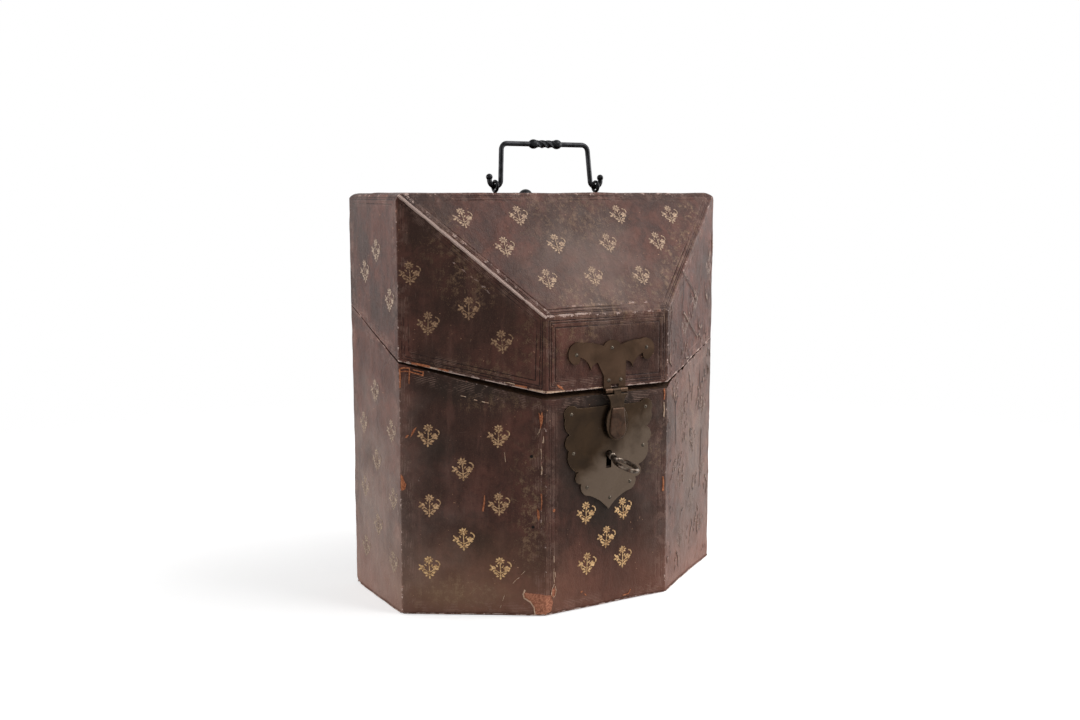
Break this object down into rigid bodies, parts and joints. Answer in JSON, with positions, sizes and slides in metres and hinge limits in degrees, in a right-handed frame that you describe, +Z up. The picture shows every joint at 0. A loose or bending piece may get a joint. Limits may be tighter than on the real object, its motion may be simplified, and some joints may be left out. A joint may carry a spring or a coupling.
{
  "type": "travelling case",
  "caption": "Upright leather-covered travelling case with canted front corners, slanting hinged lid, iron bail handle, hasp, lock with key and partitioned inside.",
  "frame": {"origin": "on the floor below the middle of the closed case", "axes": "+Z up, -Y towards the front with the lock, +X to the right seen from the front"},
  "size_m": [0.3, 0.1974, 0.3675],
  "materials": {
    "leather": "worn, blind-tooled",
    "wood": "plain sawn and aged",
    "lining": "flat cloth",
    "black_iron": "black, hammered",
    "patina_iron": "brown patina",
    "bright_steel": "worn bright"
  },
  "bodies": {
    "case": {"base_cover": "leather", "base_board": "wood", "floor_lining": "lining", "right_board": "wood", "right_cant_board": "wood", "front_board": "wood", "left_cant_board": "wood", "left_board": "wood", "back_board": "wood", "case_leather": "leather", "inner_lip": "wood", "long_partition": "wood", "cross_partitions": "wood", "case_hinge_leaves": "patina_iron", "case_hinge_nails": "bright_steel", "hinge_pins": "patina_iron", "lock_plate": "patina_iron", "lock_nails": "bright_steel", "lock_case": "patina_iron", "lock_cover": "patina_iron", "bolt_spring": "patina_iron"},
    "lid": {"top_board": "wood", "slope_board": "wood", "lid_right_board": "wood", "lid_right_cant_board": "wood", "lid_front_board": "wood", "lid_left_cant_board": "wood", "lid_left_board": "wood", "lid_back_board": "wood", "lid_leather": "leather", "lid_stops": "wood", "lid_hinge_leaves": "patina_iron", "lid_hinge_nails": "bright_steel", "hasp_plate": "patina_iron", "hasp_plate_nails": "bright_steel", "hasp_pin": "patina_iron", "handle_eyes": "black_iron", "rest_stud": "patina_iron"},
    "handle": {"handle": "black_iron"},
    "hasp": {"hasp": "patina_iron", "hasp_boss": "patina_iron", "hasp_staple": "patina_iron"},
    "key": {"key": "bright_steel"},
    "bolt": {"bolt": "bright_steel"}
  },
  "joints": [
    {"name": "lid_hinge", "type": "hinge", "parent": "case", "child": "lid", "pos_m": [0, 0.08015, 0.2345], "axis": [-1, 0, 0], "range_deg": [0, 105]},
    {"name": "handle_swing", "type": "hinge", "parent": "lid", "child": "handle", "pos_m": [0, 0.01615, 0.3293], "axis": [1, 0, 0], "range_deg": [-82.5, 96]},
    {"name": "hasp_swing", "type": "hinge", "parent": "lid", "child": "hasp", "pos_m": [0.005, -0.07975, 0.172], "axis": [-1, 0, 0], "range_deg": [0, 130]},
    {"name": "key_turn", "type": "hinge", "parent": "case", "child": "key", "pos_m": [0, -0.07785, 0.122], "axis": [0, 0.9816, 0.1908], "range_deg": [-100, 260]},
    {"name": "bolt_slide", "type": "slide", "parent": "case", "child": "bolt", "axis": [1, 0, 0], "range_m": [-0.0034, 0.0088]}
  ],
  "couplings": [
    {"joint": "bolt_slide", "follows": "key_turn", "m_per_rad": 0.0019099}
  ]
}
